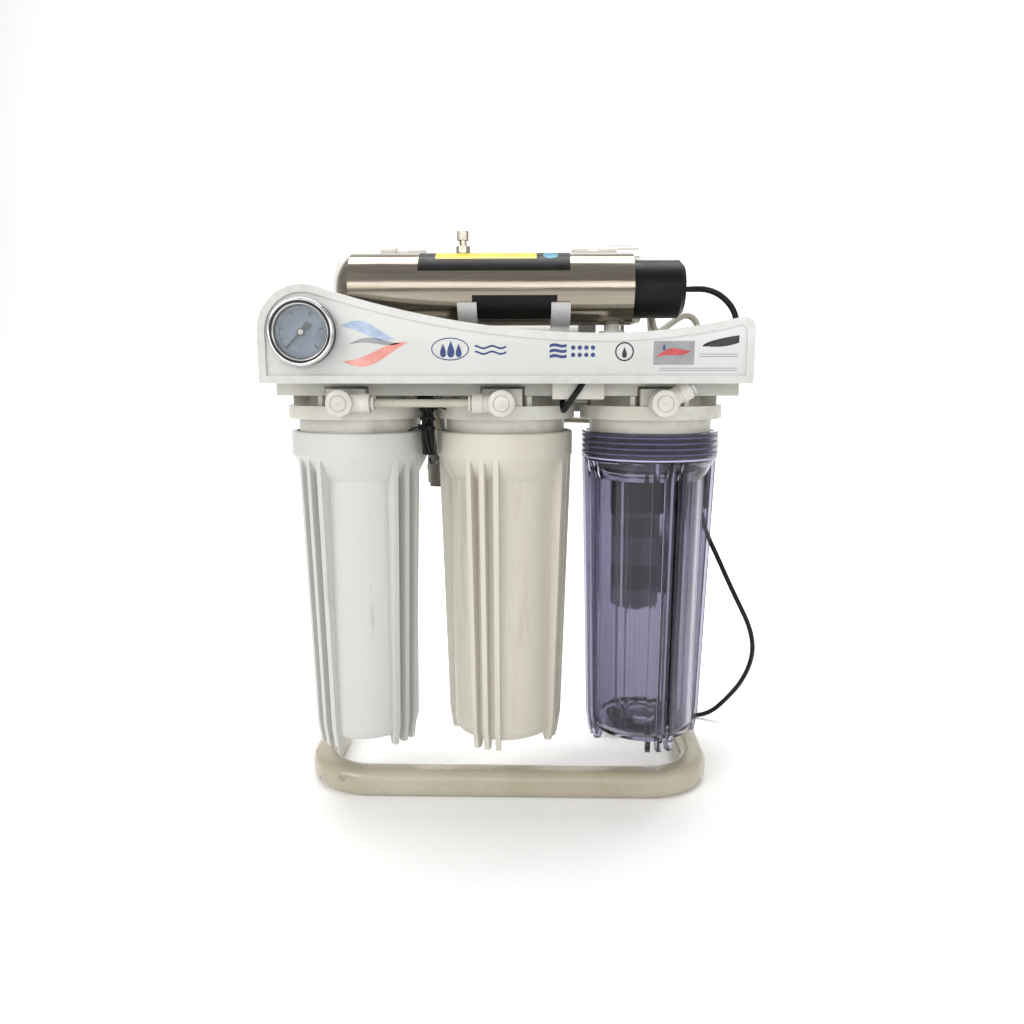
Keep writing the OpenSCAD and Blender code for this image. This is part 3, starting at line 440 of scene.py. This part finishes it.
def build_blades(bm):
    """Two flat blades with rounded tips."""
    front = plug_back.y - 33.5 * MM
    tip = plug_low.y
    apart, half = 6.35 * MM, 0.7
    for side in (-1, 1):
        x = (plug_low.x + plug_high.x) / 2 + side * apart
        low, high = plug_back.z - 3.2 * MM, plug_back.z + 3.1 * MM
        outline = [(front, low), (tip + 1.6 * MM, low), (tip + 0.4 * MM, low + 1.1 * MM),
                   (tip, plug_back.z), (tip + 0.4 * MM, high - 1.1 * MM), (tip + 1.6 * MM, high),
                   (front, high)]
        sides = [[bm.verts.new((x + off * MM, y, z)) for y, z in outline] for off in (-half, half)]
        slab(bm, *sides)


plug = make_object("mains_plug", mesh_from("mains_plug", build_plug, math.radians(35)),
                   finishes["cable_black"])
blades = make_object("mains_plug_blades", mesh_from("mains_plug_blades", build_blades),
                     finishes["brass"])
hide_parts("power_plug")


# ---------------------------------------------------------------- smoother tubes and cables

SWEPT = ("uv_cable", "feed_tubes", "product_tubes", "drain_tube", "gauge_tube", "cables")
for name in SWEPT:
    weld = nodes[name].modifiers.new("weld", "WELD")
    weld.merge_threshold = 1e-5
    round_off = nodes[name].modifiers.new("round", "SUBSURF")
    round_off.levels = round_off.render_levels = 1


# ---------------------------------------------------------------- wiring bundle

LOOM_X = -66.5
LOOM = metres([(-64, -38, 398), (-66, -44, 394), (LOOM_X, -47.5, 384), (LOOM_X, -47.5, 372),
               (LOOM_X, -47.5, 360), (LOOM_X, -47.5, 347), (LOOM_X, -47.5, 335), (LOOM_X, -46.5, 325),
               (LOOM_X, -45, 316), (LOOM_X, -42.6, 311)])
STRANDS = 6
STRAND_R = 1.75 * MM
TWIST = 0.34
for strand in range(STRANDS):
    path = []
    for i, place in enumerate(LOOM):
        turn = math.tau * strand / STRANDS + i * TWIST
        spread = (3.6 + 0.45 * math.sin(1.7 * i + 2.1 * strand)) * MM
        path.append(place + Vector((math.cos(turn) * spread, math.sin(turn) * spread, 0)))
    wire = make_object(f"loom_wire_{strand}", curve_from(f"loom_wire_{strand}", path, STRAND_R, 5, 3),
                       finishes["cable_black"])
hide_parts("wiring_loom")


def cable_tie(name, centre, radius, tail_heading):
    """A narrow tie round a vertical bundle, with its head and a tail that sticks out."""
    def build(bm):
        ring, half = 26, 1.3 * MM
        rows = []
        for i in range(ring):
            a = math.tau * i / ring
            spoke = Vector((math.cos(a), math.sin(a), 0))
            rows.append([bm.verts.new(centre + spoke * r + Vector((0, 0, z)))
                         for r, z in ((radius, -half), (radius + 1.1 * MM, -half),
                                      (radius + 1.1 * MM, half), (radius, half))])
        skin(bm, rows, around=True)
        heading = Vector(tail_heading).normalized()
        side = heading.cross(Vector((0, 0, 1))).normalized()
        start = centre + heading * radius
        rings = []
        profile = ((0.0, 2.3, 2.3), (4.2, 2.3, 2.3), (4.4, 1.2, 0.55), (11.0, 1.2, 0.5), (17.0, 1.0, 0.4))
        for step, wide, thick in profile:
            droop = Vector((0, 0, -0.018 * step * step * MM))
            middle = start + heading * (step * MM) + droop
            rings.append([bm.verts.new(middle + side * (x * wide * MM) + Vector((0, 0, z * thick * MM)))
                          for x, z in ((-1, -1), (1, -1), (1, 1), (-1, 1))])
        skin(bm, rings)
        bm.faces.new(rings[0])
        bm.faces.new(rings[-1])
    return make_object(name, mesh_from(name, build, math.radians(40)), finishes["cable_black"])


for place, y, z, size, tail_heading in (
        ("upper", -47.5, 357, 5.3, (-0.55, -0.8, 0.1)),
        ("lower", -47.3, 341, 5.3, (0.2, -0.95, 0.0)),
        ("top", -47.5, 364, 5.4, (0.8, -0.55, 0.1)),
        ("middle", -47.4, 349, 5.3, (0.75, -0.6, 0.25)),
        ("foot", -47.2, 333, 5.3, (-0.6, -0.8, 0.2))):
    cable_tie(f"loom_tie_{place}", Vector((LOOM_X, y, z)) * MM, size * MM, tail_heading)


# ---------------------------------------------------------------- printed panel

FACE_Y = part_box("fascia_panel")[0].y + 1.5 * MM
PRINT_UP = 0.12 * MM


def flat_print(name, outlines, mat, lift=0.0):
    """Thin printed shapes on the front of the panel, from outlines in millimetres of X and Z."""
    def build(bm):
        for outline in outlines:
            fronts = [bm.verts.new((x * MM, FACE_Y - PRINT_UP - lift * MM, z * MM)) for x, z in outline]
            backs = [bm.verts.new((x * MM, FACE_Y - 0.01 * MM, z * MM)) for x, z in outline]
            slab(bm, fronts, backs)
    return make_object(name, mesh_from(name, build), mat)


def band(x0, x1, low, high, count=40):
    """A strip between two lines given as functions of X."""
    xs = [x0 + (x1 - x0) * i / count for i in range(count + 1)]
    return [(x, low(x)) for x in xs] + [(x, high(x)) for x in reversed(xs)]


def oval(cx, cz, rx, rz, count=48):
    turns = [math.tau * i / count for i in range(count)]
    return [(cx + rx * math.cos(a), cz + rz * math.sin(a)) for a in turns]


def ring_parts(cx, cz, rx, rz, thick, count=48):
    """A ring as short four-sided pieces laid end to end."""
    outer, inner = oval(cx, cz, rx, rz, count), oval(cx, cz, rx - thick, rz - thick, count)
    return [[outer[i], outer[(i + 1) % count], inner[(i + 1) % count], inner[i]] for i in range(count)]


def droplet(cx, cz, size, count=40):
    """A drop with its point at the top."""
    out = []
    for i in range(count):
        a = math.tau * i / count
        pinch = math.sin(a / 2) ** 1.5
        out.append((cx + size * 0.62 * math.sin(a) * pinch, cz + size * math.cos(a)))
    return out


def leaf(x0, x1, base, rise, thick, wave):
    """A long swoosh that is pointed at both ends."""
    def middle(x):
        u = (x - x0) / (x1 - x0)
        return base + rise * u + wave * math.sin(math.pi * 1.6 * u)

    def half(x):
        return thick * math.sin(math.pi * min(max((x - x0) / (x1 - x0), 0.0), 1.0)) + 0.05
    return band(x0, x1, lambda x: middle(x) - half(x), lambda x: middle(x) + half(x))


flat_print("print_swoosh_blue", [leaf(-126, -84, 414, -8, 4.6, 2.4)], print_blue)
flat_print("print_swoosh_coral", [leaf(-125, -74, 387, 11, 4.4, -3.4)], print_coral)
flat_print("print_swoosh_pale", [leaf(-120, -80, 400, 3, 2.0, 2.2)], print_grey)
flat_print("print_ring", ring_parts(-42, 396.5, 14.5, 8.6, 0.8), print_navy)
flat_print("print_droplets", [droplet(-47.5, 395.5, 5.2), droplet(-41.5, 396.5, 6.4),
                              droplet(-35.5, 395.5, 5.2)], print_navy, 0.02)
flat_print("print_ripples", [
    band(-23, 1, lambda x, k=k: 393 + 4.2 * k + 0.9 * math.sin(x / 2.1),
         lambda x, k=k: 394.5 + 4.2 * k + 0.9 * math.sin(x / 2.1)) for k in range(2)], print_navy)
flat_print("print_strokes", [
    band(34, 47, lambda x, k=k: 389 + 4 * k + (x - 34) * 0.14 + math.sin(x / 2.6),
         lambda x, k=k: 391.3 + 4 * k + (x - 34) * 0.14 + math.sin(x / 2.6)) for k in range(3)], print_navy)
flat_print("print_dots", [oval(52 + 5 * i, 397.5 - 5.4 * j, 1.7, 1.7, 20)
                          for i in range(4) for j in range(2)], print_navy)
flat_print("print_badge_ring", ring_parts(91, 394.5, 7.2, 7.2, 1.1), print_dark)
flat_print("print_badge_drop", [droplet(91, 394, 4.2)], print_dark, 0.02)
flat_print("print_panel", [
    [(113, 384.6), (144, 384.6), (144, 402.4), (113, 402.4)]], print_grey)
flat_print("print_panel_swoosh", [leaf(115, 142, 390.5, 6, 2.6, 1.6)], print_red, 0.06)
flat_print("print_panel_drop", [droplet(121, 398, 2.6)], print_navy, 0.06)
flat_print("print_lines", [
    [(118, z), (177, z), (177, z + 0.55), (118, z + 0.55)] for z in (380.2, 381.8)]
    + [[(148, z), (177, z), (177, z + 0.55), (148, z + 0.55)] for z in (390.6, 392.4)], print_grey)
flat_print("print_teardrop", [
    band(150, 177.5, lambda x: 398 + 0.01 * (x - 160) ** 2,
         lambda x: 398.2 + 8.5 * math.sqrt(max((x - 150) / 27.5, 0.0)))], print_dark)


# ---------------------------------------------------------------- pressure gauge

bezel_low, bezel_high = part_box("gauge_bezel")
dial_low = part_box("gauge_dial")[0]
GAUGE = Vector(((bezel_low.x + bezel_high.x) / 2, dial_low.y, (bezel_low.z + bezel_high.z) / 2))


def turned_ring(name, profile, mat, axis_point, sides=72):
    """A ring turned about a line along Y, from radius and depth pairs in millimetres."""
    def build(bm):
        rows = []
        for i in range(sides):
            a = math.tau * i / sides
            rows.append([bm.verts.new((axis_point.x + r * MM * math.cos(a), axis_point.y + y * MM,
                                       axis_point.z + r * MM * math.sin(a))) for r, y in profile])
        skin(bm, rows, around=True)
    return make_object(name, mesh_from(name, build, math.radians(35)), mat)


RIM = Vector((GAUGE.x, bezel_low.y, GAUGE.z))
rim = turned_ring("gauge_rim", [(25.45, 4.0), (25.45, 1.6), (25.2, 0.7), (24.6, 0.15), (23.9, 0.0),
                                (23.2, 0.25), (22.85, 0.9), (22.8, 4.0)],
                  finishes["gauge_chrome"], RIM)
turned_ring("gauge_groove", [(22.75, 3.9), (22.75, 1.3), (21.5, 1.9), (21.5, 3.9)],
            finishes["gauge_black"], RIM)
turned_ring("gauge_inner_rim", [(21.45, 1.4), (21.4, 0.75), (20.9, 0.45), (20.4, 0.7), (20.0, 1.4),
                                (20.0, 1.45)], finishes["gauge_chrome"], RIM)
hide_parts("gauge_bezel")
turned_ring("dial_dark_ring", [(21.4, -0.05), (21.4, -0.5), (19.6, -0.5), (19.6, -0.05)],
            finishes["gauge_black"], GAUGE)
turned_ring("pointer_hub", [(1.9, -1.45), (1.9, -2.9), (1.5, -3.2), (0.25, -3.2), (0.25, -1.45)],
            finishes["fitting_white"], GAUGE)


def build_ticks(bm):
    """Scale marks over three quarters of a turn, a longer one at every tenth."""
    count = 50
    for i in range(count + 1):
        a = math.radians(225 - 270 * i / count)
        inner = (13.6 if i % 10 == 0 else 15.0 if i % 5 == 0 else 16.2) * MM
        outer, half = 17.6 * MM, (0.6 if i % 10 == 0 else 0.3) * MM
        spoke = Vector((math.cos(a), 0, math.sin(a)))
        side = Vector((-math.sin(a), 0, math.cos(a)))
        corners = [spoke * inner - side * half, spoke * outer - side * half,
                   spoke * outer + side * half, spoke * inner + side * half]
        front = [bm.verts.new(GAUGE + c + Vector((0, -0.12 * MM, 0))) for c in corners]
        back = [bm.verts.new(GAUGE + c + Vector((0, -0.01 * MM, 0))) for c in corners]
        slab(bm, front, back)


make_object("dial_marks", mesh_from("dial_marks", build_ticks), finishes["pointer_black"])


# ---------------------------------------------------------------- thread seen through the clear collar

BOWL_X = {"left": -130, "middle": -3, "right": 124}
BOWL_Y = -12.5
thread_violet = material("thread_violet", srgb(196, 190, 226), srgb(182, 174, 214), (0.2, 0.35), scale=60,
                         bump=0.02)
clear_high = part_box("bowl_clear")[1]


def build_thread(bm):
    """Rings just under the collar's surface, round the right bowl's axis."""
    sides, rings, pitch = 96, 5, 4.6 * MM
    middle = Vector((BOWL_X["right"], BOWL_Y, 0.0)) * MM
    for k in range(rings):
        low = clear_high.z - pitch * (k + 1)
        rows = []
        for i in range(sides):
            a = math.tau * i / sides
            spoke = Vector((math.cos(a), math.sin(a), 0))
            rows.append([bm.verts.new(middle + spoke * (radius * MM) + Vector((0, 0, low + up * MM)))
                         for radius, up in ((58.3, 0.0), (59.2, 0.35), (59.2, 1.25), (58.3, 1.6))])
        skin(bm, rows, around=True)


make_object("bowl_clear_thread", mesh_from("bowl_clear_thread", build_thread, math.radians(35)),
            thread_violet, "bowl_clear_turning")


# ---------------------------------------------------------------- elbow fronts

elbow_low, elbow_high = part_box("front_elbows")
ELBOW_R = 10.5
CAP_R = ELBOW_R - 0.1
PORT_Z = elbow_high.z - ELBOW_R * MM
for name, x in BOWL_X.items():
    turned_ring(f"elbow_cap_{name}",
                [(CAP_R, 0.6), (CAP_R - 0.1, -0.5), (CAP_R - 1.0, -1.1), (6.7, -1.5), (6.5, -0.8),
                 (5.9, -0.8), (5.7, -1.7), (2.2, -2.3), (0.3, -2.35), (0.3, 0.6)],
                finishes["fitting_white"], Vector((x * MM, elbow_low.y, PORT_Z)), 56)


# ---------------------------------------------------------------- labels on round bodies, and a painted dark reflection

def wrap(name, centre, along, radius, span, start, end, mat, rounded=0.0, thick=0.16):
    """A label, or a painted dark reflection, laid on a round body. along is "x" or "z"; angles are in
    degrees from the front.
    """
    def build(bm):
        across, lengths = 28, 16
        rows = []
        for i in range(lengths + 1):
            u = i / lengths
            row_front, row_back = [], []
            for j in range(across + 1):
                v = j / across
                trim = 1.0 - rounded * (1 - math.sqrt(max(1 - (2 * u - 1) ** 2, 0.0)))
                a = math.radians((start + end) / 2 + (end - start) * (v - 0.5) * max(trim, 0.02))
                place = span[0] + (span[1] - span[0]) * u
                for row, r in ((row_front, radius + thick), (row_back, radius + 0.02)):
                    if along == "x":
                        point = (place, centre[0] - r * math.cos(a), centre[1] + r * math.sin(a))
                    else:
                        point = (centre[0] + r * math.sin(a), centre[1] - r * math.cos(a), place)
                    row.append(bm.verts.new(Vector(point) * MM))
            rows.append((row_front, row_back))
        for (f0, b0), (f1, b1) in zip(rows, rows[1:]):
            for j in range(across):
                bm.faces.new((f0[j], f0[j + 1], f1[j + 1], f1[j]))
                bm.faces.new((b0[j], b1[j], b1[j + 1], b0[j + 1]))
            bm.faces.new((f0[0], f1[0], b1[0], b0[0]))
            bm.faces.new((f0[-1], b0[-1], b1[-1], f1[-1]))
        for f, b in (rows[0], rows[-1]):
            for j in range(across):
                bm.faces.new((f[j], f[j + 1], b[j + 1], b[j]))
    return make_object(name, mesh_from(name, build, math.radians(35)), mat)


UV = (-57.5, 444.5)
wrap("uv_label", UV, "x", 28, (-68, 50), 25, 97, label_black)
wrap("uv_label_bar", UV, "x", 28.18, (-55, 24), 50, 76, label_yellow, thick=0.1)
wrap("uv_label_oval", UV, "x", 28.18, (29, 41), 50, 76, label_teal, rounded=1.0, thick=0.1)
# A plain black sheet on the chamber's lower front: a painted dark reflection of what lies beneath it, not a
# label.
wrap("uv_painted_dark_reflection", UV, "x", 28, (-26, 40), -58, -14, label_black)
PUMP = (123.5, 79.5)
wrap("motor_label_upper", PUMP, "z", 28.5, (221, 241), -75, 75, label_smoke)
wrap("motor_label_lower", PUMP, "z", 28.5, (168, 193), -75, 75, label_smoke)


# ---------------------------------------------------------------- studio

def pale(name, colour):
    """The studio's plain matt surface."""
    mat = bpy.data.materials.new(name)
    mat.use_nodes = True
    shader = mat.node_tree.nodes["Principled BSDF"]
    shader.inputs["Base Color"].default_value = colour
    shader.inputs["Roughness"].default_value = 0.9
    shader.inputs["Specular IOR Level"].default_value = 0.1
    return mat


def build_sweep(bm):
    """A floor that curves up into a backdrop."""
    front, back, bend, top, half_width = -6.0, 2.0, 1.5, 6.0, 7.0
    profile = [(front, 0.0), (back, 0.0)]
    profile += [(back + bend * math.sin(a), bend - bend * math.cos(a))
                for a in (math.radians(9 * i) for i in range(1, 11))]
    profile.append((back + bend, top))
    rows = [[bm.verts.new((x, y, z)) for y, z in profile] for x in (-half_width, half_width)]
    for i in range(len(profile) - 1):
        bm.faces.new((rows[0][i], rows[1][i], rows[1][i + 1], rows[0][i + 1]))


sweep_data = mesh_from("studio_sweep", build_sweep, math.radians(60))
sweep_data.materials.append(pale("studio_white", (0.97, 0.97, 0.965, 1.0)))
sweep = bpy.data.objects.new("studio_sweep", sweep_data)
scene.collection.objects.link(sweep)


def soft_light(name, place, target, size, power, colour=(1, 1, 1)):
    data = bpy.data.lights.new(name, "AREA")
    data.shape = "RECTANGLE"
    data.size, data.size_y = size
    data.energy = power
    data.color = colour
    obj = bpy.data.objects.new(name, data)
    obj.location = place
    obj.rotation_euler = (Vector(target) - Vector(place)).to_track_quat("-Z", "Y").to_euler()
    scene.collection.objects.link(obj)


CENTRE = (0.0, 0.0, 0.25)
soft_light("key", (-1.5, -1.5, 1.6), CENTRE, (1.2, 1.2), 26, (1.0, 0.99, 0.97))
soft_light("fill", (1.8, -1.2, 0.9), CENTRE, (1.0, 1.4), 7, (0.97, 0.98, 1.0))
soft_light("top", (0.0, 0.3, 2.2), CENTRE, (1.6, 1.0), 26)
soft_light("window", (0.0, -2.3, 0.85), (0.0, 0.0, 0.45), (3.4, 0.7), 17)
soft_light("backdrop", (0.0, 0.9, 2.4), (0.0, 3.2, 0.8), (3.0, 1.0), 80)
world = bpy.data.worlds.new("world")
world.use_nodes = True
world.node_tree.nodes["Background"].inputs[0].default_value = (1.0, 1.0, 1.0, 1.0)
world.node_tree.nodes["Background"].inputs[1].default_value = 0.42
scene.world = world
scene.view_settings.view_transform = "Standard"
